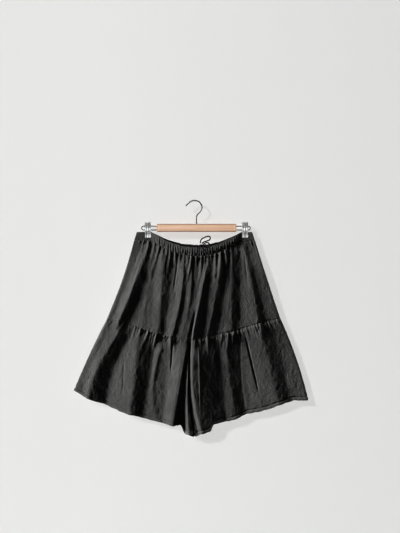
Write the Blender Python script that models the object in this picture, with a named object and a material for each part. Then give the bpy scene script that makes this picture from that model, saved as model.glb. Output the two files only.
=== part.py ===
"""Tiered linen shorts held by the waistband in the two clips of a wooden hanger.

Metres, +Z up. The front of the garment faces -Y. The origin is the inside of the hook's crown,
where a rail carries everything. Right and left are the wearer's: the right leg is at -X.
"""

import math

import bmesh
import bpy
import numpy as np
from mathutils import Vector

GAP = 0.0003  # between neighbouring pieces, at every seam and contact

# Hanger
HOOK_WIRE = 0.0036
LOOP_WIRE = 0.0028
BAR_LENGTH, BAR_DEPTH, BAR_HEIGHT = 0.2384, 0.012, 0.0234
BAR_X, BAR_TOP = 0.0062, -0.0687
BAR_EDGE = 0.0016
SOCKET_DEPTH = 0.009  # how far each wire goes into the wood
LOOP_TOP, LOOP_FOOT = -0.0753, -0.0867  # the two strands of each wire loop
LOOP_ENDS = {"right": -0.1586, "left": 0.1670}
CLIP_X = {"right": -0.1396, "left": 0.1514}
CLIP_WIDTH, CLIP_PLATE = 0.0176, 0.0012
CLIP_TOP, CLIP_FOOT = -0.0636, -0.1098
SPRING_RADIUS, SPRING_LENGTH = 0.0030, 0.0110

# Cloth
WALL = 0.0015  # one linen panel
BAND_WALL = 0.0024  # the folded casing of the waistband
BAND_HEIGHT = 0.0250
BAND_TOP = -0.0927  # top edge of the waistband where the clips hold it
BAND_CORNER = 0.1727  # from the middle plane to a top corner
GRIP = 0.0100  # flat stretch of waistband on the inner side of each clip
BAND_SAG = {"front": 0.0463, "back": 0.0385}  # below the clips at the middle
BAND_BELLY = {"front": 0.0160, "back": 0.0110}  # out of the hanger's plane at the middle
TIER_DEPTH = {"front": 0.0190, "back": 0.0110}  # hollow half depth at the tier seam
HEM_DEPTH = {"front": 0.0230, "back": 0.0130}  # and at the hem
FLOUNCE_SWELL = {"front": 0.0040, "back": 0.0025}  # the gathers stand out just below the seam
CROTCH = 0.93  # how far down the upper panels the rise seams end
STITCH_ROOM = WALL / 2 + GAP / 2  # from a seam's plane to the middle of a panel pressed against it

LEGS = {"right": -1, "left": 1}
FACES = {"front": -1, "back": 1}

# Side seam of each leg: x and z at the waistband's foot, the tier seam and the hem, and how far
# each tier's edge bows outwards between them.
SIDE_SEAM = {
    "right": {"foot": (-0.1806, -0.1177), "tier": (-0.2625, -0.3537), "hem": (-0.3615, -0.5697),
              "upper_bow": -0.0055, "flounce_bow": 0.0030},
    "left": {"foot": (0.1806, -0.1177), "tier": (0.2560, -0.3495), "hem": (0.3405, -0.5967),
             "upper_bow": -0.0010, "flounce_bow": 0.0070},
}

# Line of the rise seams and, below the crotch, of the two inseams: z, x
CENTRE_LINE = [
    (-0.118, 0.0230), (-0.183, 0.0270), (-0.267, 0.0165), (-0.351, -0.0015), (-0.400, -0.0120),
    (-0.470, -0.0195), (-0.567, -0.0180), (-0.642, -0.0130), (-0.7030, 0.0015),
]

# Tier seam: share of the way from side seam to inseam, then z on the right and on the left leg
TIER_SEAM = [
    (0.00, -0.3537, -0.3495), (0.25, -0.3645, -0.3657), (0.50, -0.3890, -0.3880),
    (0.75, -0.4035, -0.4010), (1.00, -0.4160, -0.4160),
]

# Hem, in the same columns. It drops where the inner fold of each leg hangs straight down.
HEM = [
    (0.00, -0.5697, -0.5967), (0.13, -0.5930, -0.5985), (0.25, -0.6095, -0.6085),
    (0.36, -0.6240, -0.6230), (0.55, -0.6445, -0.6395), (0.65, -0.6535, -0.6530),
    (0.78, -0.6645, -0.6620), (0.84, -0.6685, -0.6650), (0.86, -0.6685, -0.6700),
    (0.88, -0.6690, -0.6840), (0.90, -0.6700, -0.6880), (0.92, -0.6895, -0.6900),
    (0.95, -0.6960, -0.6930), (1.00, -0.7030, -0.7030),
]

# Largest folds of the front, for both legs. Columns: x of the crest at the tier's top, at its
# middle and at its foot, then how far the fold reaches to the right leg's side and to the left
# leg's side of the crest, then its height at the top and at the foot. A trough is negative.
UPPER_FOLDS = [
    (-0.138, -0.193, -0.236, 0.028, 0.036, 0.0040, 0.0110),
    (-0.112, -0.139, -0.172, 0.016, 0.018, 0.0020, 0.0050),
    (-0.097, -0.102, -0.105, 0.024, 0.030, 0.0040, 0.0080),
    (-0.024, -0.037, -0.058, 0.026, 0.014, 0.0040, 0.0070),
    (0.004, -0.012, -0.026, 0.016, 0.014, 0.0030, 0.0040),
    (0.034, 0.026, -0.004, 0.018, 0.015, 0.0030, 0.0070),
    (0.084, 0.067, 0.042, 0.020, 0.015, 0.0030, 0.0060),
    (0.118, 0.112, 0.106, 0.030, 0.018, 0.0040, 0.0080),
    (0.155, 0.177, 0.200, 0.038, 0.018, 0.0050, 0.0100),
    (0.176, 0.210, 0.242, 0.018, 0.015, 0.0020, 0.0050),
]
FLOUNCE_FOLDS = [
    (-0.270, -0.300, -0.325, 0.032, 0.050, 0.0060, 0.0150),
    (-0.165, -0.183, -0.193, 0.052, 0.040, 0.0070, 0.0190),
    (-0.094, -0.118, -0.122, 0.030, 0.018, 0.0040, 0.0070),
    (-0.072, -0.084, -0.088, 0.018, 0.018, 0.0030, 0.0040),
    (-0.022, -0.041, -0.059, 0.042, 0.026, 0.0090, 0.0220),
    (-0.012, -0.028, -0.038, 0.014, 0.011, -0.0040, -0.0120),
    (0.004, 0.000, 0.013, 0.014, 0.040, 0.0060, 0.0140),
    (0.046, 0.052, 0.062, 0.024, 0.020, -0.0090, -0.0160),
    (0.092, 0.101, 0.121, 0.030, 0.030, 0.0070, 0.0150),
    (0.151, 0.154, 0.158, 0.014, 0.022, 0.0060, 0.0120),
    (0.213, 0.220, 0.237, 0.046, 0.036, 0.0080, 0.0180),
    (0.260, 0.295, 0.320, 0.026, 0.020, 0.0040, 0.0100),
]
BACK_SHIFT, BACK_SHARE = 0.012, 0.55  # the back has the front's folds mirrored, moved and lower

ACROSS = np.concatenate([[0, 0.03, 0.07], np.linspace(0.11, 0.80, 20), [0.825, 0.85, 0.875],
                         [0.90, 0.92, 0.94, 0.96, 0.98, 1]])
UPPER_DOWN = np.array([0, 0.07, 0.2, 0.36, 0.52, 0.68, 0.82, CROTCH, 1])
FLOUNCE_DOWN = np.array([0, 0.05, 0.14, 0.3, 0.5, 0.75, 1])

# Bow of the drawstring. Each strand is a hand-laid route of x, z and distance out from the
# waistband's face.
CORD = 0.0030
KNOT = (0.0195, -0.1340)
KNOT_SIZE = (0.0052, 0.0036, 0.0048)  # half sizes
BOW = {
    "drawstring_loop_upper": [
        (0.0176, -0.1278, 0.0050), (0.0150, -0.1225, 0.0052), (0.0178, -0.1165, 0.0056),
        (0.0255, -0.1100, 0.0058), (0.0350, -0.1055, 0.0056), (0.0425, -0.1050, 0.0054),
        (0.0470, -0.1095, 0.0054), (0.0455, -0.1155, 0.0056), (0.0390, -0.1195, 0.0060),
        (0.0310, -0.1225, 0.0060), (0.0245, -0.1262, 0.0056), (0.0226, -0.1287, 0.0052),
    ],
    "drawstring_loop_lower": [
        (0.0256, -0.1318, 0.0050), (0.0310, -0.1290, 0.0058), (0.0375, -0.1268, 0.0056),
        (0.0435, -0.1290, 0.0046), (0.0455, -0.1345, 0.0036), (0.0425, -0.1395, 0.0032),
        (0.0370, -0.1402, 0.0034), (0.0310, -0.1380, 0.0042), (0.0262, -0.1358, 0.0050),
    ],
    "drawstring_end_right": [
        (0.0165, -0.1395, 0.0046), (0.0140, -0.1440, 0.0036), (0.0128, -0.1500, 0.0026),
        (0.0135, -0.1560, 0.0024), (0.0120, -0.1620, 0.0026), (0.0125, -0.1680, 0.0050),
        (0.0118, -0.1730, 0.0075),
    ],
    "drawstring_end_left": [
        (0.0222, -0.1397, 0.0046), (0.0262, -0.1432, 0.0036), (0.0305, -0.1478, 0.0026),
        (0.0335, -0.1530, 0.0024), (0.0352, -0.1590, 0.0026), (0.0372, -0.1650, 0.0045),
        (0.0385, -0.1705, 0.0072),
    ],
}

# Hook's centreline in the hanger's plane: x, z. It runs from the tip over the crown to the stem.
HOOK_LINE = [
    (-0.0266, -0.0146), (-0.0205, -0.0088), (-0.0140, -0.0030), (-0.0075, 0.0008),
    (0.0000, HOOK_WIRE / 2), (0.0085, 0.0004), (0.0160, -0.0040), (0.0208, -0.0110),
    (0.0226, -0.0185), (0.0208, -0.0262), (0.0165, -0.0328), (0.0110, -0.0385),
    (0.0072, -0.0428), (BAR_X, -0.0480), (BAR_X, -0.0580),
]

# Front jaw of a clip from the squeezed tab to the lip: y, z of the plate's middle
JAW_LINE = [
    (-0.0110, CLIP_TOP), (-0.0076, -0.0700), (-0.0052, -0.0765), (-0.0046, -0.0820),
    (-0.0052, -0.0880), (-0.0044, -0.0950), (-0.0036, -0.1000), (-0.0036, -0.1070),
    (-0.0044, CLIP_FOOT),
]

COLOURS = {  # linear colour, roughness, metallic
    "linen": ((0.045, 0.046, 0.045), 0.95, 0.0),
    "cord": ((0.022, 0.023, 0.024), 0.9, 0.0),
    "wood": ((0.56, 0.33, 0.19), 0.55, 0.0),
    "chrome": ((0.62, 0.62, 0.62), 0.25, 1.0),
    "clip_steel": ((0.55, 0.55, 0.54), 0.35, 1.0),
}


def material(name):
    found = bpy.data.materials.get(name)
    if found:
        return found
    colour, roughness, metallic = COLOURS[name]
    made = bpy.data.materials.new(name)
    made.use_nodes = True
    shader = made.node_tree.nodes["Principled BSDF"]
    shader.inputs["Base Color"].default_value = (*colour, 1)
    shader.inputs["Roughness"].default_value = roughness
    shader.inputs["Metallic"].default_value = metallic
    return made


def place(name, data, material_name, sharp_angle=40):
    made = bpy.data.objects.new(name, data)
    data.materials.append(material(material_name))
    bpy.context.scene.collection.objects.link(made)
    if isinstance(data, bpy.types.Mesh):
        data.shade_smooth()
        data.set_sharp_from_angle(angle=math.radians(sharp_angle))
    return made


def mesh_of(name, points, faces):
    built = bmesh.new()
    corners = [built.verts.new(point) for point in points]
    for face in faces:
        built.faces.new([corners[i] for i in face])
    bmesh.ops.recalc_face_normals(built, faces=built.faces)
    data = bpy.data.meshes.new(name)
    built.to_mesh(data)
    built.free()
    return data


# ---- cloth ----


def ease(value):
    """0 to 1 with flat ends."""
    value = np.clip(value, 0, 1)
    return value * value * (3 - 2 * value)


def smooth_table(rows, at, column=1):
    """A column of a table read at the first column's value, rounded between rows."""
    keys = np.array([row[0] for row in rows], float)
    values = np.array([row[column] for row in rows], float)
    if keys[0] > keys[-1]:
        keys, values = keys[::-1], values[::-1]
    slopes = np.gradient(values, keys)
    at = np.clip(at, keys[0], keys[-1])
    i = np.clip(np.searchsorted(keys, at) - 1, 0, len(keys) - 2)
    step = keys[i + 1] - keys[i]
    t = (at - keys[i]) / step
    return ((1 + 2 * t) * (1 - t) ** 2 * values[i] + t * (1 - t) ** 2 * step * slopes[i]
            + t * t * (3 - 2 * t) * values[i + 1] + t * t * (t - 1) * step * slopes[i + 1])


def between_clips(x):
    """1 at the middle of the waist and 0 from each clip outwards."""
    middle = (CLIP_X["right"] + CLIP_X["left"]) / 2
    half = (CLIP_X["left"] - CLIP_X["right"]) / 2 - GRIP
    return np.clip(1 - ((x - middle) / half) ** 2, 0, 1)


def band_edge(face, x, drop):
    """z of a line on the waistband, a given drop below its top edge."""
    return BAND_TOP - BAND_SAG[face] * between_clips(x) - drop


def side_point(leg, tier, down):
    """x of the side seam a share of the way down a tier."""
    seam = SIDE_SEAM[leg]
    start, end = ("foot", "tier") if tier == "upper" else ("tier", "hem")
    bow = seam[tier + "_bow"] * 4 * down * (1 - down) * LEGS[leg]
    return seam[start][0] + (seam[end][0] - seam[start][0]) * down + bow


def folds(table, face, x, down):
    """Height of the folds above the smooth form."""
    height = np.zeros_like(x)
    for top, middle, foot, right_reach, left_reach, rise_top, rise_foot in table:
        crest = (top * (1 - down) * (1 - 2 * down) + middle * 4 * down * (1 - down)
                 + foot * down * (2 * down - 1))
        rise = rise_top + (rise_foot - rise_top) * down
        away = x - crest
        if face == "back":
            away, rise = -x + BACK_SHIFT - crest, rise * BACK_SHARE
        reach = np.where(away < 0, right_reach, left_reach)
        height += rise * (0.5 + 0.5 * np.cos(np.pi * np.clip(abs(away) / reach, 0, 1)))
    return height


def seam_room(across, side_share, centre_share, centre_rise):
    """Share of the full depth: 0 at the side seam and centre_rise at the centre line."""
    side = np.sin(np.pi / 2 * np.clip(across / side_share, 0, 1))
    centre = np.sin(np.pi / 2 * np.clip((1 - across) / centre_share, 0, 1))
    return side * (centre_rise + (1 - centre_rise) * centre)


def upper_depth(face, across, down, x, waist_x):
    """How far an upper panel's middle stands out from the garment's middle plane."""
    rise = 1 - ease((down - 0.60) / (CROTCH - 0.60))  # the rise seams turn in towards the crotch
    form = TIER_DEPTH[face] * seam_room(across, 0.20, 0.16, rise)
    waist = BAND_BELLY[face] * between_clips(waist_x)
    blend = ease(down / 0.55)
    creases = folds(UPPER_FOLDS, face, x, down) * seam_room(across, 0.08, 0.06, rise)
    depth = waist * (1 - blend) + form * blend + creases * ease(down / 0.15)
    return STITCH_ROOM + np.maximum(depth, 0)


def flounce_depth(face, across, down, x, waist_x, seam_x):
    """The same for a flounce, which starts from the upper panel's foot."""
    seam = upper_depth(face, across, 1, seam_x, waist_x)
    full = TIER_DEPTH[face] + (HEM_DEPTH[face] - TIER_DEPTH[face]) * down
    form = full * seam_room(across, 0.16, 0.04, 0)
    creases = folds(FLOUNCE_FOLDS, face, x, down) * seam_room(across, 0.06, 0.05, 0)
    swell = FLOUNCE_SWELL[face] * ease(down / 0.06) * ease((0.5 - down) / 0.4)
    swell = swell * seam_room(across, 0.05, 0.05, 0)
    blend = ease(down / 0.2)
    depth = STITCH_ROOM + np.maximum(form + creases, 0)
    return seam * (1 - blend) + depth * blend + swell


def row_x(leg, tier, across, down, z_at_centre):
    """x of one row of a panel, from its side seam to the rise seam or the inseam."""
    centre = smooth_table(CENTRE_LINE, z_at_centre) + LEGS[leg] * GAP / 2
    if tier == "flounce" or down > CROTCH - 1e-6:
        centre += LEGS[leg] * STITCH_ROOM
    side = side_point(leg, tier, down)
    return side + (centre - side) * across


def panel_points(leg, face, tier, across, down):
    """Middle of a panel as a grid of points, one row for each value of down."""
    column = 1 if leg == "right" else 2
    seam_z = smooth_table(TIER_SEAM, across, column)
    waist_x = row_x(leg, "upper", across, 0, band_edge(face, CENTRE_LINE[0][1], BAND_HEIGHT))
    waist_z = band_edge(face, waist_x, BAND_HEIGHT)
    seam_x = row_x(leg, "upper", across, 1, seam_z[-1])
    rows = []
    for share in down:
        if tier == "upper":
            z = waist_z + (seam_z - waist_z) * share
            x = row_x(leg, tier, across, share, z[-1])
            depth = upper_depth(face, across, share, x, waist_x)
        else:
            z = seam_z + (smooth_table(HEM, across, column) - seam_z) * share
            x = row_x(leg, tier, across, share, z[-1])
            depth = flounce_depth(face, across, share, x, waist_x, seam_x)
        rows.append(np.stack([x, FACES[face] * depth, z], axis=1))
    return np.array(rows)


def normals_of(grid, face):
    """Directions out of the garment at each point of a grid."""
    along = np.gradient(grid, axis=1)
    down = np.gradient(grid, axis=0)
    out = np.cross(along, down)
    out *= np.sign(out[..., 1:2]) * FACES[face]
    return out / np.linalg.norm(out, axis=-1, keepdims=True)


def level_across(grid, face):
    """Level directions out of one row of points, from that row alone."""
    along = np.gradient(grid, axis=0)
    out = np.stack([along[:, 1], -along[:, 0], np.zeros(len(along))], axis=1)
    out *= np.sign(out[:, 1:2]) * FACES[face]
    return out / np.linalg.norm(out, axis=1, keepdims=True)


def wall_mesh(name, grid, out, thickness):
    """A closed wall from the grid of its middle and the directions out of it."""
    rows, columns = grid.shape[:2]
    points = np.concatenate([(grid + out * thickness / 2).reshape(-1, 3),
                             (grid - out * thickness / 2).reshape(-1, 3)])
    inner = rows * columns
    faces = []
    for i in range(rows - 1):
        for j in range(columns - 1):
            a = i * columns + j
            quad = (a, a + 1, a + columns + 1, a + columns)
            faces += [quad, tuple(k + inner for k in reversed(quad))]
    rim = ([(0, j) for j in range(columns)] + [(i, columns - 1) for i in range(1, rows)]
           + [(rows - 1, j) for j in range(columns - 2, -1, -1)]
           + [(i, 0) for i in range(rows - 2, 0, -1)])
    for (i, j), (k, m) in zip(rim, rim[1:] + rim[:1]):
        a, b = i * columns + j, k * columns + m
        faces.append((a, a + inner, b + inner, b))
    return mesh_of(name, points, faces)


def make_panel(leg, face, tier):
    down = UPPER_DOWN if tier == "upper" else FLOUNCE_DOWN
    grid = panel_points(leg, face, tier, ACROSS, down)
    out = normals_of(grid, face)
    out[0] = level_across(grid[0], face)
    grid[0, :, 2] -= GAP / 2
    if tier == "upper":
        out[-1] = level_across(grid[-1], face)
        grid[-1, :, 2] += GAP / 2
        above_crotch = down < CROTCH - 1e-6
        facing = out[above_crotch, -1] * (0, 1, 1)
        out[above_crotch, -1] = facing / np.linalg.norm(facing, axis=1, keepdims=True)
    name = f"{tier}_{face}_{leg}"
    place(name, wall_mesh(name, grid, out, WALL), "linen", sharp_angle=75)


def make_band(face):
    """Half of the waistband's casing, cut at the side seams."""
    foot = {leg: panel_points(leg, face, "upper", ACROSS, [0])[0] for leg in LEGS}
    lower = np.concatenate([foot["right"][:-1], foot["left"][::-1]])
    share = (lower[:, 0] - lower[0, 0]) / (lower[-1, 0] - lower[0, 0])
    upper_x = BAND_CORNER * (2 * share - 1)
    room = BAND_WALL / 2 + GAP / 2
    lower[:, 1] = FACES[face] * (room + BAND_BELLY[face] * between_clips(lower[:, 0]))
    lower[:, 2] = band_edge(face, lower[:, 0], BAND_HEIGHT) + GAP / 2
    upper_y = FACES[face] * (room + BAND_BELLY[face] * between_clips(upper_x))
    upper = np.stack([upper_x, upper_y, band_edge(face, upper_x, 0)], axis=1)
    grid = np.array([upper, lower])
    out = np.array([level_across(row, face) for row in grid])
    name = f"waistband_{face}"
    place(name, wall_mesh(name, grid, out, BAND_WALL), "linen")


# ---- hanger and drawstring ----


def smooth_route(points, step):
    """Points about a step apart on one smooth curve through the given ones."""
    line = [Vector(point) for point in points]
    line = [2 * line[0] - line[1], *line, 2 * line[-1] - line[-2]]
    route = []
    for before, start, end, after in zip(line, line[1:], line[2:], line[3:]):
        parts = max(1, round((end - start).length / step))
        for k in range(parts):
            t = k / parts
            route.append(0.5 * (2 * start + (end - before) * t
                                + (2 * before - 5 * start + 4 * end - after) * t ** 2
                                + (3 * start - before - 3 * end + after) * t ** 3))
    return route + [line[-2]]


def make_wire(name, route, diameter, material_name, resolution=2):
    data = bpy.data.curves.new(name, "CURVE")
    data.dimensions = "3D"
    data.bevel_depth = diameter / 2
    data.bevel_resolution = resolution
    data.use_fill_caps = True
    spline = data.splines.new("POLY")
    spline.points.add(len(route) - 1)
    for point, place_at in zip(spline.points, route):
        point.co = (*place_at, 1)
    return place(name, data, material_name)


def make_box(name, low, high, material_name, edge=0):
    low, high = Vector(low), Vector(high)
    built = bmesh.new()
    bmesh.ops.create_cube(built, size=1)
    bmesh.ops.scale(built, vec=high - low, verts=built.verts)
    bmesh.ops.translate(built, vec=(low + high) / 2, verts=built.verts)
    if edge:
        bmesh.ops.bevel(built, geom=built.edges, offset=edge, segments=2, profile=0.5,
                        affect="EDGES")
    data = bpy.data.meshes.new(name)
    built.to_mesh(data)
    built.free()
    return place(name, data, material_name)


def cut(target, cutter):
    cutter.hide_render = True
    cutter.display_type = "WIRE"
    modifier = target.modifiers.new(cutter.name, "BOOLEAN")
    modifier.operation = "DIFFERENCE"
    modifier.object = cutter


def make_rod(name, middle, axis, radius, length, material_name, sides=12):
    built = bmesh.new()
    bmesh.ops.create_cone(built, cap_ends=True, segments=sides, radius1=radius, radius2=radius,
                          depth=length)
    data = bpy.data.meshes.new(name)
    built.to_mesh(data)
    built.free()
    rod = place(name, data, material_name)
    rod.rotation_euler = Vector(axis).to_track_quat("Z", "Y").to_euler()
    rod.location = middle
    return rod


def make_bar():
    half = BAR_LENGTH / 2
    bar = make_box("hanger_bar", (BAR_X - half, -BAR_DEPTH / 2, BAR_TOP - BAR_HEIGHT),
                   (BAR_X + half, BAR_DEPTH / 2, BAR_TOP), "wood", BAR_EDGE)
    sockets = [("hook", (BAR_X, 0, BAR_TOP), (0, 0, 1), HOOK_WIRE)]
    for leg, sign in LEGS.items():
        for strand, z in (("top", LOOP_TOP), ("foot", LOOP_FOOT)):
            sockets.append((f"{leg}_{strand}", (BAR_X + sign * half, 0, z), (1, 0, 0), LOOP_WIRE))
    for label, middle, axis, wire in sockets:
        cutter = make_rod(f"socket_{label}", middle, axis, wire / 2 + GAP, 2 * SOCKET_DEPTH, "wood")
        cut(bar, cutter)


def make_hook():
    stem_foot = BAR_TOP - SOCKET_DEPTH + GAP
    line = [(x, 0, z) for x, z in HOOK_LINE] + [(BAR_X, 0, stem_foot)]
    make_wire("hanger_hook", smooth_route(line, 0.0045), HOOK_WIRE, "chrome")


def make_loop(leg):
    """A wire loop from the bar's end out past the clip and back."""
    sign = LEGS[leg]
    radius = (LOOP_TOP - LOOP_FOOT) / 2
    start = BAR_X + sign * (BAR_LENGTH / 2 - SOCKET_DEPTH + GAP)
    turn = LOOP_ENDS[leg] - sign * radius
    middle = (LOOP_TOP + LOOP_FOOT) / 2
    line = [Vector((start, 0, LOOP_TOP))]
    for k in range(9):
        angle = math.pi / 2 - math.pi * k / 8
        line.append(Vector((turn + sign * radius * math.cos(angle), 0,
                            middle + radius * math.sin(angle))))
    line.append(Vector((start, 0, LOOP_FOOT)))
    make_wire(f"hanger_loop_{leg}", line, LOOP_WIRE, "chrome")


def make_jaw(leg, face):
    """A pressed plate: a squeezed tab on top, a waist at the spring and two prongs below."""
    sign = -FACES[face]
    line = [Vector((0, y * sign, z)) for y, z in JAW_LINE]
    middle = CLIP_X[leg]
    outer, inner = [], []
    for before, here, after in zip(line[:1] + line, line, line[1:] + line[-1:]):
        run = (after - before).normalized()
        side = Vector((0, -run.z, run.y)) * CLIP_PLATE / 2
        outer.append(here + side)
        inner.append(here - side)
    profile = outer + inner[::-1]
    half = Vector((CLIP_WIDTH / 2, 0, 0))
    shift = Vector((middle, 0, 0))
    count = len(profile)
    points = [p + shift - half for p in profile] + [p + shift + half for p in profile]
    last = len(line) - 1
    faces = []
    for i in range(last):
        quad = (i, i + 1, count - 2 - i, count - 1 - i)
        faces += [quad, tuple(k + count for k in reversed(quad))]
    for i in range(count):
        j = (i + 1) % count
        faces.append((i, j, j + count, i + count))
    name = f"clip_{leg}_{face}_jaw"
    jaw = place(name, mesh_of(name, points, faces), "clip_steel")
    slot_half = 0.0012
    slot = make_box(f"slot_{leg}_{face}", (middle - slot_half, -0.02, CLIP_FOOT - 0.005),
                    (middle + slot_half, 0.02, -0.0925), "clip_steel")
    cut(jaw, slot)


def make_clip(leg):
    for face in FACES:
        make_jaw(leg, face)
    middle = (CLIP_X[leg], 0, (LOOP_TOP + LOOP_FOOT) / 2)
    make_rod(f"clip_{leg}_spring", middle, (1, 0, 0), SPRING_RADIUS, SPRING_LENGTH, "clip_steel")


def band_face(x):
    """y of the waistband's outer face at the front."""
    return -(BAND_WALL + GAP / 2 + BAND_BELLY["front"] * between_clips(x))


def make_bow():
    for name, route in BOW.items():
        line = [(x, band_face(x) - out, z) for x, z, out in route]
        make_wire(name, smooth_route(line, 0.006), CORD, "cord")
    x, z = KNOT
    built = bmesh.new()
    bmesh.ops.create_icosphere(built, subdivisions=2, radius=1)
    bmesh.ops.scale(built, vec=KNOT_SIZE, verts=built.verts)
    bmesh.ops.translate(built, vec=(x, band_face(x) - KNOT_SIZE[1] - GAP, z), verts=built.verts)
    data = bpy.data.meshes.new("drawstring_knot")
    built.to_mesh(data)
    built.free()
    place("drawstring_knot", data, "cord")


def main():
    for thing in list(bpy.data.objects):
        bpy.data.objects.remove(thing)
    make_bar()
    make_hook()
    for leg in LEGS:
        make_loop(leg)
        make_clip(leg)
    for face in FACES:
        make_band(face)
        for leg in LEGS:
            make_panel(leg, face, "upper")
            make_panel(leg, face, "flounce")
    make_bow()


main()
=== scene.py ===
import math

import bpy
import numpy as np
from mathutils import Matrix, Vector


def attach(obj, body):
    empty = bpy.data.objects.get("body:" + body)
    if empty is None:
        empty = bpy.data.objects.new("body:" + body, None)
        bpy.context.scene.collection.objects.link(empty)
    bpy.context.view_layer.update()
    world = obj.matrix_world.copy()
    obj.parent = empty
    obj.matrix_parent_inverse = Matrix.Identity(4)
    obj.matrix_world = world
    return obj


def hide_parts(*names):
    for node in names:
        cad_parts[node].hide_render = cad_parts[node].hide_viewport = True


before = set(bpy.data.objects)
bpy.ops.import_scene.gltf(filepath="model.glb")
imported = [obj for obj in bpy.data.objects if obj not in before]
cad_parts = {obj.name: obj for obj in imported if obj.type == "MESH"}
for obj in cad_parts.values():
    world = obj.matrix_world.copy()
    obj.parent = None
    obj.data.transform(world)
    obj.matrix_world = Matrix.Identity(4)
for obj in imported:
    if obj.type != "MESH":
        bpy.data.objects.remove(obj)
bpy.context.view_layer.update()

gap = 0.0003  # between neighbouring pieces
legSide = {"right": -1, "left": 1}  # the wearer's right leg is at -X
faceSide = {"front": -1, "back": 1}
scene = bpy.context.scene


# node helpers


def feed(tree, node, **inputs):
    # each input is a socket to link from, or a value; i0 is the node's first input
    for key, value in inputs.items():
        socket = node.inputs[int(key[1:]) if key[1:].isdigit() else key.replace("_", " ")]
        if isinstance(value, bpy.types.NodeSocket):
            tree.links.new(value, socket)
        else:
            socket.default_value = value
    return node


def addNode(tree, kind, settings=None, **inputs):
    made = tree.nodes.new("ShaderNode" + kind)
    for key, value in (settings or {}).items():
        setattr(made, key, value)
    return feed(tree, made, **inputs)


def addMath(tree, operation, *values):
    inputs = {f"i{k}": value for k, value in enumerate(values)}
    return addNode(tree, "Math", {"operation": operation}, **inputs).outputs[0]


def mixColour(tree, share, first, second):
    made = addNode(tree, "Mix", {"data_type": "RGBA"}, i0=share, i6=first, i7=second)
    return made.outputs[2]


def mapRange(tree, value, start, end, low=0.0, high=1.0):
    return addNode(tree, "MapRange", Value=value, From_Min=start, From_Max=end, To_Min=low,
                   To_Max=high).outputs[0]


def stretchedNoise(tree, vector, stretch, **inputs):
    scaled = addNode(tree, "VectorMath", {"operation": "MULTIPLY"}, i0=vector, i1=stretch)
    return addNode(tree, "TexNoise", Vector=scaled.outputs[0], **inputs).outputs["Fac"]


def bumpOf(tree, height, distance, strength, **inputs):
    return addNode(tree, "Bump", Height=height, Distance=distance, Strength=strength,
                   **inputs).outputs[0]


def newMaterial(name, roughness, metallic=0.0):
    made = bpy.data.materials.new(name)
    made.use_nodes = True
    tree = made.node_tree
    shader = feed(tree, tree.nodes["Principled BSDF"], Roughness=roughness, Metallic=metallic)
    return made, tree, shader, addNode(tree, "TexCoord").outputs["Object"]


def opaque(colour, shade=1.0):
    return (*(c * shade for c in colour), 1)


# camera, walls and light

cameraSetup = {"at": (0.0165, -2.6, -0.1962), "lens": 58.54, "sensor": 36}
backdrop = {
    "wallY": 0.0312, "floorZ": -1.90, "half": 7.0, "floorShare": 4, "roughness": 0.9,
    "specular": 0.1, "wallColour": (0.800, 0.800, 0.792), "wallPaintedShade": 0.925,
    "shadeFrom": -0.3, "shadeTo": 0.6, "floorColour": (0.86, 0.86, 0.85), "floorThrows": 0.42,
    "floorGlow": 0.35,
}
lamps = {  # degrees to the left of the viewer and above, strength, spread and what it lights
    "keySun": (76, 20, 9.3, 14, "garment"), "fillSun": (15, 30, 0.05, 60, "garment"),
    "backSun": (112, 22, 5.5, 16, "garment"), "rimSun": (-102, 25, 1.6, 30, "garment"),
    "metalSun": (46, 15, 0.75, 80, "metal"), "wallSun": (38, 24, 0.50, 5, "room"),
    "roomFill": (3, 4, 1.75, 6, "room"),
}
clothStops = ("keySun", "roomFill")  # only cloth throws a shadow from these
studio = {"ambient": 0.013, "surround": 0.60, "tint": (0.93, 0.97, 1.0, 1),
          "brightSide": (-0.84, -0.36, 0.30), "brightRange": (-0.8, 0.9, 0.03, 0.72),
          "look": "High Contrast"}
lit = {}
for litName in ("garment", "metal", "room", "cloth"):
    lit[litName] = bpy.data.collections.new(litName)
    scene.collection.children.link(lit[litName])


def makeCamera():
    data = bpy.data.cameras.new("studioCamera")
    data.lens, data.sensor_width = cameraSetup["lens"], cameraSetup["sensor"]
    camera = bpy.data.objects.new("studioCamera", data)
    camera.location = cameraSetup["at"]
    camera.rotation_euler = (math.radians(90), 0, 0)
    scene.collection.objects.link(camera)
    scene.camera = camera


def makeSun(name, left, up, strength, spread, lights):
    data = bpy.data.lights.new(name, "SUN")
    data.energy = strength
    data.angle = math.radians(spread)
    a, e = math.radians(left), math.radians(up)
    source = Vector((-math.sin(a) * math.cos(e), -math.cos(a) * math.cos(e), math.sin(e)))
    sun = bpy.data.objects.new(name, data)
    sun.rotation_mode = "QUATERNION"
    sun.rotation_quaternion = source.to_track_quat("Z", "Y")
    sun.light_linking.receiver_collection = lit[lights]
    if name in clothStops:
        sun.light_linking.blocker_collection = lit["cloth"]
    scene.collection.objects.link(sun)


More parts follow.
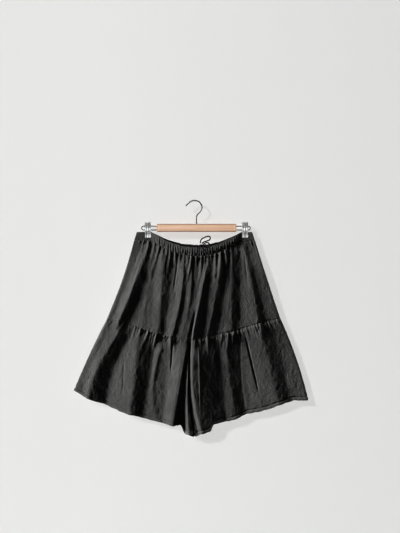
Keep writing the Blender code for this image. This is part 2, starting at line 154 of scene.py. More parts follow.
def makeWorld():
    # dim for matt surfaces; bright metal sees a room that is lighter to the left and above
    world = bpy.data.worlds.new("studio")
    world.use_nodes = True
    world.cycles.sampling_method = "NONE"
    tree = world.node_tree
    tree.nodes.clear()
    path, place = addNode(tree, "LightPath"), addNode(tree, "TexCoord")
    towards = addNode(tree, "VectorMath", {"operation": "DOT_PRODUCT"},
                      i0=place.outputs["Generated"], i1=studio["brightSide"])
    room = mapRange(tree, towards.outputs["Value"], *studio["brightRange"])
    strength = studio["ambient"]
    for ray, seen in (("Is Glossy Ray", room), ("Is Camera Ray", studio["surround"])):
        part = addMath(tree, "MULTIPLY", path.outputs[ray], seen)
        strength = addMath(tree, "MAXIMUM", part, strength)
    glow = addNode(tree, "Background", Color=studio["tint"], Strength=strength)
    addNode(tree, "OutputWorld", Surface=glow.outputs[0])
    scene.world = world
    scene.view_settings.view_transform = "Standard"
    scene.view_settings.look = studio["look"]


def wallPaint():
    made, tree, shader, place = newMaterial("wallPaint", backdrop["roughness"])
    colour = backdrop["wallColour"]
    split = addNode(tree, "SeparateXYZ", Vector=place)
    # painted shade: the wall's colour darkens towards the right, where less light falls on it
    fade = mapRange(tree, split.outputs["X"], backdrop["shadeFrom"], backdrop["shadeTo"])
    shadedRight = mixColour(tree, fade, opaque(colour), opaque(colour, backdrop["wallPaintedShade"]))
    feed(tree, shader, Base_Color=shadedRight, Specular_IOR_Level=backdrop["specular"])
    # from behind, and for the light from behind, the wall isn't there
    seen, path = addNode(tree, "NewGeometry"), addNode(tree, "LightPath")
    gone = addMath(tree, "MAXIMUM", seen.outputs["Backfacing"], path.outputs["Is Shadow Ray"])
    clear = addNode(tree, "BsdfTransparent")
    mix = addNode(tree, "MixShader", i0=gone, i1=shader.outputs[0], i2=clear.outputs[0])
    feed(tree, tree.nodes["Material Output"], Surface=mix.outputs[0])
    return made


def floorPaint():
    # it throws little light up, so that the folds stay dark, and a painted glow that only the
    # camera sees makes it look pale
    made, tree, shader, _ = newMaterial("floorPaint", backdrop["roughness"])
    colour, path = backdrop["floorColour"], addNode(tree, "LightPath")
    thrown = mixColour(tree, path.outputs["Is Diffuse Ray"], opaque(colour),
                       opaque(colour, backdrop["floorThrows"]))
    glow = addMath(tree, "MULTIPLY", path.outputs["Is Camera Ray"], backdrop["floorGlow"])
    feed(tree, shader, Base_Color=thrown, Specular_IOR_Level=backdrop["specular"],
         Emission_Color=opaque(colour), Emission_Strength=glow)
    return made


def makeBackdrop():
    half, wallY, floorZ = backdrop["half"], backdrop["wallY"], backdrop["floorZ"]
    wide = backdrop["floorShare"] * half
    sheets = {
        "wall": (wallPaint(), [(-half, wallY, floorZ), (half, wallY, floorZ),
                               (half, wallY, half), (-half, wallY, half)]),
        "floor": (floorPaint(), [(-wide, -wide, floorZ), (wide, -wide, floorZ),
                                 (wide, wide, floorZ), (-wide, wide, floorZ)]),
    }
    for name, (paint, points) in sheets.items():
        mesh = bpy.data.meshes.new(name)
        mesh.from_pydata(points, [], [(0, 1, 2, 3)])
        mesh.materials.append(paint)
        made = bpy.data.objects.new(name, mesh)
        lit["room"].objects.link(made)


makeCamera()
makeWorld()
makeBackdrop()
for lampName, lamp in lamps.items():
    makeSun(lampName, *lamp)
print("studio made")


# shader groups that more than one finish uses


def newGroup(name, inputs, outputs):
    tree = bpy.data.node_groups.new(name, "ShaderNodeTree")
    for label, kind, value in inputs:
        socket = tree.interface.new_socket(name=label, in_out="INPUT",
                                           socket_type="NodeSocket" + kind)
        if value is not None:
            socket.default_value = value
    for label in outputs:
        tree.interface.new_socket(name=label, in_out="OUTPUT", socket_type="NodeSocketFloat")
    return tree, tree.nodes.new("NodeGroupInput").outputs, tree.nodes.new("NodeGroupOutput")


def useGroup(tree, group, **inputs):
    return addNode(tree, "Group", {"node_tree": group}, **inputs).outputs


def makePlainWeave():
    # over-and-under threads with slubs; the vector is in metres along weft and warp
    tree, given, out = newGroup(
        "plainWeave", [("Vector", "Vector", None), ("Threads per metre", "Float", 1500.0),
                       ("Slub", "Float", 0.5)], ["Height", "Tint"])
    split = addNode(tree, "SeparateXYZ", Vector=given["Vector"])
    waves, slubs = [], []
    for axis, stretch in (("X", (2200.0, 45.0, 0.0)), ("Y", (45.0, 2200.0, 0.0))):
        turns = addMath(tree, "MULTIPLY", split.outputs[axis], given["Threads per metre"])
        waves.append(addMath(tree, "SINE", addMath(tree, "MULTIPLY", turns, math.pi)))
        noise = stretchedNoise(tree, given["Vector"], stretch, Scale=1.0, Detail=2.0)
        slubs.append(addMath(tree, "SUBTRACT", noise, 0.5))
    both = addMath(tree, "ADD", *slubs)
    crossing = addMath(tree, "MULTIPLY", addMath(tree, "MULTIPLY", *waves), 0.3)
    feed(tree, out, Height=addMath(tree, "MULTIPLY_ADD", both, given["Slub"], crossing),
         Tint=addMath(tree, "MULTIPLY_ADD", both, 0.9, 0.5))
    return tree


def makeMottle():
    # soft patches of two sizes, from 0 to 1
    tree, given, out = newGroup(
        "mottle", [("Vector", "Vector", None), ("Size", "Float", 0.03),
                   ("Contrast", "Float", 1.0)], ["Mask", "Fine"])
    rate = addMath(tree, "DIVIDE", 1.0, given["Size"])
    for name, scale, detail in (("Mask", rate, 3.0),
                                ("Fine", addMath(tree, "MULTIPLY", rate, 9.0), 2.0)):
        noise = addNode(tree, "TexNoise", Vector=given["Vector"], Scale=scale, Detail=detail)
        centred = addMath(tree, "SUBTRACT", noise.outputs["Fac"], 0.5)
        stretched = addMath(tree, "MULTIPLY_ADD", centred, given["Contrast"], 0.5)
        feed(tree, out, **{name: addNode(tree, "Clamp", Value=stretched).outputs[0]})
    return tree


plainWeave = makePlainWeave()
mottle = makeMottle()


# cloth colours and finish

linenLook = {
    "dark": (0.046, 0.046, 0.046), "light": (0.072, 0.072, 0.070), "worn": (0.100, 0.100, 0.097),
    "threads": 1500.0, "slub": 0.7, "threadShare": 0.35, "patch": 0.035, "contrast": 1.5,
    "roughness": 0.92, "roughVaries": 0.12, "sheen": 0.06, "sheenRoughness": 0.5,
    "specular": 0.06, "bump": 0.00022, "bumpStrength": 0.8, "crumple": 0.0030,
    "crumpleStretch": (1.25, 0.50, 1.0), "crumpleScale": 420.0,
}
cordLook = {"dark": (0.004, 0.004, 0.005), "light": (0.014, 0.014, 0.015), "roughness": 0.9,
            "specular": 0.2, "patch": 0.004, "contrast": 2.0, "bump": 0.0003, "strength": 0.6}


def linenMaterial(name, shade=1.0):
    look = linenLook
    made, tree, shader, place = newMaterial(name, look["roughness"])
    dark, light, worn = (opaque(look[key], shade) for key in ("dark", "light", "worn"))
    lie = addNode(tree, "UVMap", {"uv_map": "clothLie"}).outputs[0]
    weave = useGroup(tree, plainWeave, Vector=lie, Threads_per_metre=look["threads"],
                     Slub=look["slub"])
    patches = useGroup(tree, mottle, Vector=place, Size=look["patch"], Contrast=look["contrast"])
    base = mixColour(tree, patches["Mask"], dark, light)
    threads = mixColour(tree, weave["Tint"], base, worn)
    base = mixColour(tree, look["threadShare"], base, threads)
    wear = addNode(tree, "Attribute", {"attribute_name": "edgeWear"})
    rubbed = addMath(tree, "MULTIPLY", wear.outputs["Fac"], patches["Fine"])
    rough = addMath(tree, "MULTIPLY_ADD", patches["Fine"], look["roughVaries"],
                    look["roughness"] - look["roughVaries"] / 2)
    wrinkles = stretchedNoise(tree, lie, look["crumpleStretch"], Scale=look["crumpleScale"],
                              Detail=3.0, Roughness=0.6, Distortion=0.2)
    bump = bumpOf(tree, weave["Height"], look["bump"], look["bumpStrength"],
                  Normal=bumpOf(tree, wrinkles, look["crumple"], 1.0))
    feed(tree, shader, Base_Color=mixColour(tree, rubbed, base, worn), Roughness=rough,
         Sheen_Weight=look["sheen"], Sheen_Roughness=look["sheenRoughness"],
         Specular_IOR_Level=look["specular"], Normal=bump)
    return made


def cordMaterial():
    look = cordLook
    made, tree, shader, place = newMaterial("cordTwill", look["roughness"])
    patches = useGroup(tree, mottle, Vector=place, Size=look["patch"], Contrast=look["contrast"])
    base = mixColour(tree, patches["Mask"], opaque(look["dark"]), opaque(look["light"]))
    feed(tree, shader, Base_Color=base, Specular_IOR_Level=look["specular"],
         Normal=bumpOf(tree, patches["Fine"], look["bump"], look["strength"]))
    return made


linen = linenMaterial("washedLinen")
stitchThread = linenMaterial("stitchThread", shade=1.25)
cordCloth = cordMaterial()
print("cloth finishes made")


# mesh helpers


def meshFrom(name, points, faces, sharp=50, lie=None, wear=None):
    faces = faces.tolist() if isinstance(faces, np.ndarray) else faces
    mesh = bpy.data.meshes.new(name)
    mesh.from_pydata(np.asarray(points).tolist(), [], faces)
    if lie is not None:
        corner = np.empty(len(mesh.loops), np.int32)
        mesh.loops.foreach_get("vertex_index", corner)
        layer = mesh.uv_layers.new(name="clothLie")
        layer.data.foreach_set("uv", np.asarray(lie, np.float32)[corner].reshape(-1))
    if wear is not None:
        layer = mesh.attributes.new("edgeWear", "FLOAT", "POINT")
        layer.data.foreach_set("value", np.asarray(wear, np.float32).reshape(-1))
    mesh.shade_smooth()
    mesh.set_sharp_from_angle(angle=math.radians(sharp))
    mesh.validate()
    return mesh


def newPiece(stands, points, faces, material, slot, **finish):
    # a piece is named after the solid that it stands for; stitches stand for none
    first, *rest = stands.split("_")
    name = first + "".join(word.capitalize() for word in rest)
    made = bpy.data.objects.new(name, meshFrom(name, points, faces, **finish))
    made.data.materials.append(material)
    group = {"wood": "room", "hook_wire": "metal", "clip_steel": "metal"}.get(slot, "garment")
    lit[group].objects.link(made)
    if slot == "linen":
        lit["cloth"].objects.link(made)
    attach(made, "root")
    if rest:
        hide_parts(stands)
    return made


def tenths(*rows):
    # rows of sizes in tenths of a millimetre
    return [tuple(value / 10000 for value in row) for row in rows]


def unit(vectors):
    return vectors / np.linalg.norm(vectors, axis=-1, keepdims=True)


def runAlong(points, axis=0):
    # distance from the start of each line of points
    steps = np.linalg.norm(np.diff(points, axis=axis), axis=-1)
    return np.insert(np.cumsum(steps, axis=axis), 0, 0, axis=axis)


def ringPoints(line, side, up, size, angle, flat=1.0):
    # a ring round each point of a line
    return (line[:, None] + side[:, None] * (size * np.cos(angle))[..., None]
            + up[:, None] * (size * np.sin(angle))[..., None] * flat).reshape(-1, 3)


def ringFaces(count, sides):
    # quads between rings of points, and a cap on each end
    faces = [(r * sides + s, r * sides + t, (r + 1) * sides + t, (r + 1) * sides + s)
             for r in range(count - 1) for s in range(sides) for t in [(s + 1) % sides]]
    return [*faces, tuple(range(sides))[::-1], tuple(range((count - 1) * sides, count * sides))]


def smoothRoute(points, step):
    # points about a step apart on one smooth curve through the given ones
    line = [Vector(p) for p in points]
    line = [2 * line[0] - line[1], *line, 2 * line[-1] - line[-2]]
    route = []
    for before, start, end, after in zip(line, line[1:], line[2:], line[3:]):
        parts = max(1, round((end - start).length / step))
        for k in range(parts):
            t = k / parts
            route.append(0.5 * (2 * start + (end - before) * t
                                + (2 * before - 5 * start + 4 * end - after) * t ** 2
                                + (3 * start - before - 3 * end + after) * t ** 3))
    return route + [line[-2]]


def tubePoints(route, radius, sides, roundEnds=True, relief=None):
    # a closed tube along a route; relief(along, angle) scales its radius
    line = np.array([tuple(p) for p in route])
    run = unit(np.gradient(line, axis=0))
    side = np.zeros_like(run)
    start = np.array([0.0, 1.0, 0.0]) if abs(run[0, 1]) < 0.9 else np.array([1.0, 0.0, 0.0])
    for k, t in enumerate(run):  # it turns as little as it can
        start = start - t * start.dot(t)
        start /= np.linalg.norm(start)
        side[k] = start
    up = np.cross(run, side)
    along = runAlong(line)
    scale = np.ones(len(line))
    if roundEnds:
        fromEnd = np.minimum(along, along[-1] - along) / radius
        scale = np.sqrt(np.clip(1 - (1 - np.clip(fromEnd, 0, 1)) ** 2, 0.02, 1))
    angle = np.arange(sides) * 2 * math.pi / sides
    size = radius * scale[:, None] * np.ones(sides)
    if relief:
        size = size * relief(along[:, None], angle[None, :])
    return ringPoints(line, side, up, size, angle), ringFaces(len(line), sides)


def joined(parts):
    # several closed shells as one mesh's points and faces
    points, faces, start = [], [], 0
    for p, f in parts:
        points.append(np.asarray(p))
        faces += [tuple(i + start for i in face) for face in f]
        start += len(p)
    return np.concatenate(points), faces


def ease(value):
    value = np.clip(value, 0, 1)
    return value * value * (3 - 2 * value)


def hump(away):
    # 1 on a line, and 0 at a distance of 1 and beyond
    return 0.5 + 0.5 * np.cos(np.pi * np.clip(abs(away), 0, 1))


def bell(away):
    return np.exp(-away ** 2)


# waist line shared by the waistband, the panels and the bow

waist = {
    "clips": {"right": -0.1396, "left": 0.1514}, "grip": 0.0100, "top": -0.0927,
    "height": 0.0250, "corner": 0.1727, "wall": 0.0024,
    "sag": {"front": 0.0463, "back": 0.0385}, "belly": {"front": 0.0160, "back": 0.0110},
}


def betweenClips(x):
    # 1 at the middle of the waist and 0 from each clip outwards
    middle = (waist["clips"]["right"] + waist["clips"]["left"]) / 2
    half = (waist["clips"]["left"] - waist["clips"]["right"]) / 2 - waist["grip"]
    return np.clip(1 - ((x - middle) / half) ** 2, 0, 1)


def bandEdge(face, x, drop):
    return waist["top"] - waist["sag"][face] * betweenClips(x) - drop


def bandFace(x):
    return -(waist["wall"] + gap / 2 + waist["belly"]["front"] * betweenClips(x))


# drawstring bow

drawstring = {"diameter": 0.0036, "sides": 20, "step": 0.0006, "plait": 0.0042,
              "plaitHeight": 0.055}
bowStrands = {  # far end, lay, then x, z and distance out from the waistband's face
    "drawstring_loop_upper": ("object", "loose", tenths(
        (176, -1278, 50), (180, -1210, 54), (222, -1142, 58), (288, -1103, 60),
        (362, -1072, 58), (428, -1062, 56), (470, -1104, 56), (452, -1166, 58),
        (386, -1198, 62), (300, -1225, 62), (240, -1262, 58), (222, -1290, 54))),
    "drawstring_loop_lower": ("object", "loose", tenths(
        (256, -1318, 52), (300, -1276, 62), (365, -1250, 62), (425, -1272, 50),
        (448, -1330, 40), (422, -1386, 36), (370, -1400, 38), (310, -1378, 46),
        (262, -1356, 52))),
    "drawstring_end_right": ("bare", "hanging", tenths(
        (165, -1395, 46), (140, -1440, 36), (128, -1500, 26), (135, -1560, 24),
        (120, -1620, 26), (125, -1680, 50), (118, -1730, 75))),
    "drawstring_end_left": ("bare", "hanging", tenths(
        (222, -1397, 46), (262, -1432, 36), (305, -1478, 26), (335, -1530, 24),
        (352, -1590, 26), (372, -1650, 45), (385, -1705, 72))),
}
bowKnot = {"at": (0.0195, -0.1340), "half": (0.0052, 0.0036, 0.0048), "cord": 0.00145,
           "sides": 16, "wraps": 2.6, "start": 2.4, "steps": 90, "narrowing": 0.18,
           "tilt": 0.22, "tightness": 0.97, "core": 0.0021, "coreHalf": 0.0038}


def braid(along, angle):
    # plaited strands that cross round the cord
    turn = along * 2 * math.pi / drawstring["plait"]
    return 1 + drawstring["plaitHeight"] * np.cos(3 * angle + turn) * np.cos(3 * angle - turn)


def makeBow():
    for name, (farEnd, lay, route) in bowStrands.items():
        line = smoothRoute([(x, bandFace(x) - out, z) for x, z, out in route],
                           drawstring["step"])
        piece = newPiece(name, *tubePoints(line, drawstring["diameter"] / 2,
                                           drawstring["sides"], relief=braid),
                         cordCloth, "drawstring", sharp=70)


def makeKnot():
    x, z = bowKnot["at"]
    halfX, halfY, halfZ = bowKnot["half"]
    centre = Vector((x, bandFace(x) - halfY - gap, z))
    radius, tilt = bowKnot["cord"], bowKnot["tilt"]
    turns = []
    for k in range(bowKnot["steps"] + 1):
        share = k / bowKnot["steps"]
        angle = 2 * math.pi * bowKnot["wraps"] * share + bowKnot["start"]
        swell = 1 - bowKnot["narrowing"] * (2 * share - 1) ** 2
        at = Vector((math.cos(angle) * (halfX - radius) * swell,
                     math.sin(angle) * (halfY - radius) * swell,
                     (0.5 - share) * 2 * (halfZ - radius)))
        at = Vector((at.x * math.cos(tilt) - at.z * math.sin(tilt), at.y,
                     at.x * math.sin(tilt) + at.z * math.cos(tilt)))
        turns.append(centre + at * bowKnot["tightness"])
    core = [centre + Vector((0, 0, s))
            for s in np.linspace(-bowKnot["coreHalf"], bowKnot["coreHalf"], 16)]
    wrap = tubePoints(turns, radius, bowKnot["sides"], relief=braid)
    heart = tubePoints(core, bowKnot["core"], bowKnot["sides"])
    newPiece("drawstring_knot", *joined([wrap, heart]), cordCloth, "drawstring", sharp=70)


makeBow()
makeKnot()
print("bow tied")


# cloth form: every panel is one gathered sheet between its side seam and the centre seams

shape = {
    "wall": 0.0012, "backRoom": 0.0015, "crotch": 0.93, "riseEnds": 0.60, "backShift": 0.012,
    "relief": {"front": 1.22, "back": 0.80}, "swell": {"front": 0.0028, "back": 0.0020},
    "level": (0.0040, 0.0048), "seamGroove": 0.0012, "grooveHalf": 0.0022, "lap": 0.0028,
}
hem = {"turn": 0.0100, "thick": 0.0010, "fade": 0.0015, "groove": 0.0020, "grooveHalf": 0.0020,
       "ripple": 0.0006, "rippleHalf": 0.006, "pucker": 0.0060, "drop": 0.12, "wave": 0.0014,
       "waveLength": 0.013}
# Shares down a tier over which each thing grows or dies away. Folds and lift are a share at the
# clips and what the waist's slack adds; the swell grows, ends and takes so long to end.
fades = {
    "belly": 0.24, "folds": (0.10, 0.14), "lift": (0.36, -0.12), "dents": 0.04, "foot": 0.03,
    "seam": 0.2, "swell": (0.04, 0.5, 0.4), "lap": 0.12}
seamShares = {  # how near the side and the centre seam relief fades, and what the centre keeps
    "upperFolds": (0.025, 0.03), "upperRelief": (0.03, 0.03, 0.6),
    "flounceFolds": (0.016, 0.010, 0), "flounceRelief": (0.03, 0.012, 0)}
room = shape["backRoom"] / 2 + gap / 2
sideSeam = {  # x at the top and the foot of each tier, and how far the seam bows between them
    "right": {"upper": (-0.1806, -0.2625, -0.0055), "flounce": (-0.2625, -0.3615, 0.0030)},
    "left": {"upper": (0.1806, 0.2560, -0.0010), "flounce": (0.2560, 0.3405, 0.0070)},
}
centreLine = tenths(  # z, x of the rise seams and the inseams below them
    (-1180, 230), (-1830, 270), (-2670, 165), (-3510, -15), (-4000, -120), (-4700, -150),
    (-5670, -155), (-6420, -80), (-7030, 15))
tierSeam = [  # share of the way to the inseam, z on the right and on the left leg
    (0.00, -0.3537, -0.3495), (0.25, -0.3645, -0.3657), (0.50, -0.3890, -0.3880),
    (0.75, -0.4035, -0.4010), (1.00, -0.4160, -0.4160),
]
hemLine = [
    (0.00, -0.5697, -0.5967), (0.13, -0.5930, -0.5985), (0.25, -0.6095, -0.6085),
    (0.36, -0.6240, -0.6230), (0.55, -0.6445, -0.6395), (0.65, -0.6535, -0.6530),
    (0.78, -0.6645, -0.6620), (0.83, -0.6685, -0.6645), (0.845, -0.6685, -0.6670),
    (0.86, -0.6690, -0.6810), (0.89, -0.6700, -0.6870), (0.91, -0.6885, -0.6895),
    (0.95, -0.6960, -0.6935), (1.00, -0.7030, -0.7030),
]

# Fold lines of the front, ridges and valleys from the right side to the left: x at three levels,
# distance out at the three levels, and how far the line is rounded. Thin pressed creases: x at
# two levels, half width, depth, and the levels where the crease starts and ends.
foldForm = {
    "upper": {"levels": (-0.160, -0.265, -0.370), "lines": tenths(
        (-2000, -2370, -2700, 10, 12, 12, 30), (-1700, -2080, -2510, 14, 14, 16, 50),
        (-1455, -1865, -2305, 85, 130, 104, 30), (-1335, -1550, -2020, 50, 42, 26, 50),
        (-1210, -1380, -1550, 78, 75, 88, 30), (-1140, -1300, -1440, 66, 72, 86, 30),
        (-1080, -1200, -1300, 78, 80, 100, 30), (-930, -985, -1080, 130, 150, 150, 35),
        (-665, -725, -870, 72, 96, 104, 40), (-500, -560, -740, 94, 120, 130, 30),
        (-320, -375, -580, 162, 192, 184, 12), (-250, -265, -460, 130, 156, 149, 25),
        (-115, -100, -300, 172, 184, 168, 15), (-40, -30, -190, 140, 160, 168, 25),
        (260, 115, -85, 150, 160, 170, 20), (430, 225, 0, 210, 212, 215, 12),
        (560, 435, 325, 172, 150, 125, 30), (780, 655, 460, 205, 180, 148, 15),
        (1000, 895, 700, 145, 118, 80, 40), (1110, 1110, 1095, 160, 152, 115, 45),
        (1365, 1365, 1365, 94, 88, 55, 40), (1530, 1745, 1905, 125, 142, 120, 25),
        (1640, 1905, 2150, 90, 96, 58, 35), (1960, 2300, 2630, 92, 102, 70, 30)), "creases": tenths(
        (-455, -640, 40, -20, -1450, -2850), (-1560, -1950, 35, 8, -1700, -2900),
        (-820, -860, 30, -10, -1500, -2300), (1480, 1600, 40, -10, -1500, -2600))},
    "flounce": {"levels": (-0.420, -0.520, -0.620), "lines": tenths(
        (-2950, -3400, -3850, 8, 8, 8, 30), (-2700, -3220, -3440, 28, 30, 30, 60),
        (-2445, -2985, -3200, 92, 125, 130, 45), (-2050, -2500, -2660, 6, 8, 6, 50),
        (-1680, -1778, -1895, 105, 200, 215, 50), (-1170, -1330, -1520, 4, 90, 120, 50),
        (-920, -1210, -1210, 90, 140, 172, 30), (-830, -1110, -1070, 72, 116, 156, 30),
        (-700, -800, -900, 80, 120, 155, 50), (-350, -480, -640, 165, 250, 255, 50),
        (-210, -375, -545, 178, 260, 262, 8), (-170, -310, -470, 130, 150, 125, 15),
        (-140, -265, -300, 130, 150, 130, 8), (-120, -240, -270, 165, 215, 200, 10),
        (-80, -190, -205, 180, 250, 250, 15), (-60, -135, -50, 180, 205, 205, 10),
        (10, -60, 50, 215, 262, 270, 20), (340, 370, 460, 152, 188, 198, 40),
        (760, 800, 900, 72, 82, 90, 30), (925, 1042, 1190, 92, 112, 125, 40),
        (1392, 1405, 1525, 10, 20, 40, 20), (1420, 1435, 1556, 28, 39, 60, 10),
        (2060, 2300, 2600, 108, 122, 140, 60), (2400, 2700, 2960, 26, 34, 60, 60),
        (2810, 3150, 3500, 34, 56, 84, 30)), "creases": tenths(
        (-635, -710, 44, -42, -4050, -5200), (1480, 1980, 48, -34, -3850, -6000),
        (125, 185, 34, 16, -4150, -6600), (-2100, -2150, 40, -12, -4700, -6000))},
}
# Washed linen's dents: height, width, lean and the length that it is over, length, random table.
# Its creases: the pattern's cell in x and z one way, in z and x the other way, random table, sign.
crumples = {
    "dents": ((0.00060, 0.0190, 0.30, 0.020, 0.0480, 0), (0.00046, 0.0080, -0.25, 0.012, 0.0150, 1),
              (0.00034, 0.0048, 0.30, 0.007, 0.0062, 4)),
    "creases": ((0.030, 0.050, 0.060, -0.080, 2, 1), (0.026, -0.070, 0.050, 0.060, 3, -1)),
    "thin": 4, "deep": 0.00030, "seeds": {"upper": 7, "flounce": 31},
}
# Gathers at each seam: spacing, half width, length and height, least and most, then the lean
gatherSizes = {
    "waist": [(0.0095, 0.0170, 0.0044, 0.0066, 0.040, 0.130, 0.0032, 0.0062, 0.06),
              (0.0055, 0.0100, 0.0024, 0.0038, 0.012, 0.045, 0.0012, 0.0026, 0.12)],
    "aboveTier": [(0.0055, 0.0130, 0.0022, 0.0036, 0.005, 0.020, 0.0004, 0.0013, 0.30)],
    "belowTier": [(0.0110, 0.0250, 0.0036, 0.0060, 0.022, 0.080, 0.0018, 0.0042, 0.28),
                  (0.0055, 0.0115, 0.0021, 0.0032, 0.008, 0.028, 0.0010, 0.0025, 0.60)],
}
gatherSeeds = {"waist": 10, "aboveTier": 50, "belowTier": 70}


def smoothTable(rows, at, column=1):
    # a column of a table read at the first column's value, rounded between rows
    table = np.array(sorted(rows))
    keys, values = table[:, 0], table[:, column]
    slopes = np.gradient(values, keys)
    at = np.clip(at, keys[0], keys[-1])
    i = np.clip(np.searchsorted(keys, at) - 1, 0, len(keys) - 2)
    step = keys[i + 1] - keys[i]
    t = (at - keys[i]) / step
    return ((1 + 2 * t) * (1 - t) ** 2 * values[i] + t * (1 - t) ** 2 * step * slopes[i]
            + t * t * (3 - 2 * t) * values[i + 1] + t * t * (t - 1) * step * slopes[i + 1])


def patternNoise(u, v, seed):
    # smooth noise from -1 to 1 that repeats only after 64 cells
    table = np.random.default_rng(seed).uniform(-1, 1, (64, 64))
    i, j = np.floor(u).astype(int), np.floor(v).astype(int)
    a, b = u - i, v - j
    a = a ** 3 * (a * (a * 6 - 15) + 10)
    b = b ** 3 * (b * (b * 6 - 15) + 10)
    near = table[i % 64, j % 64] * (1 - a) + table[(i + 1) % 64, j % 64] * a
    far = table[i % 64, (j + 1) % 64] * (1 - a) + table[(i + 1) % 64, (j + 1) % 64] * a
    return near * (1 - b) + far * b


def crumple(x, z, tier, face):
    # the soft dents and thin creases of washed linen, in metres
    seed = crumples["seeds"][tier] + 5 * (face == "back")
    dents = ridges = 0
    for tall, wide, lean, over, long, turn in crumples["dents"]:
        dents = dents + tall * patternNoise(x / wide + lean * z / over, z / long, seed + turn)
    for a, b, c, d, turn, sign in crumples["creases"]:
        noise = patternNoise(x / a + z / b, z / c + x / d, seed + turn)
        ridges = ridges + sign * np.clip(1 - abs(noise) * crumples["thin"], 0, 1) ** 2
    return dents + crumples["deep"] * ridges


def through(first, middle, last, t):
    # smooth curve through three values, at t = 0, 0.5 and 1
    return first * (1 - t) * (1 - 2 * t) + middle * 4 * t * (1 - t) + last * t * (2 * t - 1)


def foldSurface(lines, levels, x, z):
    # straight between neighbouring lines, and rounded over each one
    t = np.clip((z - levels[0]) / (levels[2] - levels[0]), -0.25, 1.35)
    at, tall = [], []
    for row in lines:
        here = through(*row[:3], t)
        at.append(here if not at else np.maximum(here, at[-1] + 0.0015))
        tall.append(through(*row[3:6], np.clip(t, 0, 1)))
    height, before = tall[0] + 0 * x, 0
    for i, row in enumerate(lines):
        slope = (tall[i + 1] - tall[i]) / (at[i + 1] - at[i]) if i < len(lines) - 1 else 0
        away = x - at[i]
        height = height + (slope - before) * (away + np.sqrt(away ** 2 + row[6] ** 2)) / 2
        before = slope
    return height


def creaseHeight(table, x, z):
    height = np.zeros_like(x)
    for topX, footX, half, depth, start, end in table:
        t = np.clip((z - start) / (end - start), 0, 1)
        away = (x - topX - (footX - topX) * t) / half
        height += depth * hump(away) * ease(4 * t) * ease(2.5 * (1 - t))
    return height


def foldsOf(face, tier, x, z):
    if face == "back":  # the front's folds, mirrored and moved a little
        x = shape["backShift"] - x
    form = foldForm[tier]
    return shape["relief"][face] * (foldSurface(form["lines"], form["levels"], x, z)
                                    + creaseHeight(form["creases"], x, z))


def gathers(seam, leg, face, along, below):
    # ridges that start at a seam and die out away from it, each of its own size
    seed = gatherSeeds[seam] + (1 if leg == "right" else 2) + 10 * (face == "back")
    rng = np.random.default_rng(seed)
    height = np.zeros_like(below)
    for closest, widest, narrow, wide, shortest, longest, low, high, lean in gatherSizes[seam]:
        at = along.min() - 0.01
        while at < along.max() + 0.01:
            at += rng.uniform(closest, widest)
            half, run = rng.uniform(narrow, wide), rng.uniform(shortest, longest)
            tall, slant = rng.uniform(low, high), rng.uniform(-lean, lean)
            gone = np.clip(below / run, 0, 1)
            away = (along - at - slant * below) / (half * (1 + 0.5 * gone))
            height += tall * hump(away) * (1 - gone) ** 1.2
    gathered = 0.85 + 0.9 * patternNoise(along / 0.030 + seed, 0 * along + 0.3, seed)
    return height * np.clip(gathered, 0.30, 1.5)


def seamRoom(across, sideShare, centreShare, centreRise):
    side = np.sin(np.pi / 2 * np.clip(across / sideShare, 0, 1))
    centre = np.sin(np.pi / 2 * np.clip((1 - across) / centreShare, 0, 1))
    return side * (centreRise + (1 - centreRise) * centre)


def rowX(leg, tier, across, down, zAtCentre):
    # from the side seam to the rise seam, or to the inseam below the crotch
    sign = legSide[leg]
    start, end, bow = sideSeam[leg][tier]
    side = start + (end - start) * down + bow * 4 * down * (1 - down) * sign
    parted = (tier == "flounce") | (down > shape["crotch"] - 1e-6)
    centre = smoothTable(centreLine, zAtCentre) + sign * gap / 2 + sign * room * parted
    return side + (centre - side) * across


def upperDepth(leg, face, across, down, x, z, waistX, waistZ, seamZ):
    slack, (least, more) = betweenClips(waistX), shape["level"]
    begin, lift = (start + longer * slack for start, longer in (fades["folds"], fades["lift"]))
    rise = 1 - ease((down - shape["riseEnds"]) / (shape["crotch"] - shape["riseEnds"]))
    level = (least + more * ease((x + 0.1) / 0.2)) * shape["relief"][face]
    folds = (foldsOf(face, "upper", x, z) - level) * ease(down / begin) + level * ease(down / lift)
    folds = folds * seamRoom(across, *seamShares["upperFolds"], rise)
    below, above = waistZ - z, z - seamZ
    fine = gathers("waist", leg, face, waistX, below)
    fine = fine * (0.35 + 0.65 * ease(slack * 2.2)) * ease(0.3 + below / 0.006)
    pucker = gathers("aboveTier", leg, face, x, above)
    dents = crumple(x, z, "upper", face) * ease(down / fades["dents"])
    dents = dents * ease((1 - down) / fades["foot"])
    groove = shape["seamGroove"] * bell(above / shape["grooveHalf"])
    belly = waist["belly"][face] * slack * (1 - ease(down / fades["belly"]))
    relief = (fine + dents + pucker - groove) * seamRoom(across, *seamShares["upperRelief"])
    return room + np.maximum(belly + folds + relief, 0)


def flounceDepth(leg, face, across, down, x, z, seamX, seamZ, seamDepth):
    folds = foldsOf(face, "flounce", x, z) * seamRoom(across, *seamShares["flounceFolds"])
    begin, end, fade = fades["swell"]
    swell = shape["swell"][face] * ease(down / begin) * ease((end - down) / fade)
    below, blend = seamZ - z, ease(down / fades["seam"])
    fine = gathers("belowTier", leg, face, seamX, below) * ease(0.25 + below / 0.005)
    dents = crumple(x, z, "flounce", face) * ease(down / fades["foot"])
    depth = room + np.maximum(folds, 0)
    relief = (swell + fine + dents) * seamRoom(across, *seamShares["flounceRelief"])
    return seamDepth * (1 - blend) + depth * blend + relief


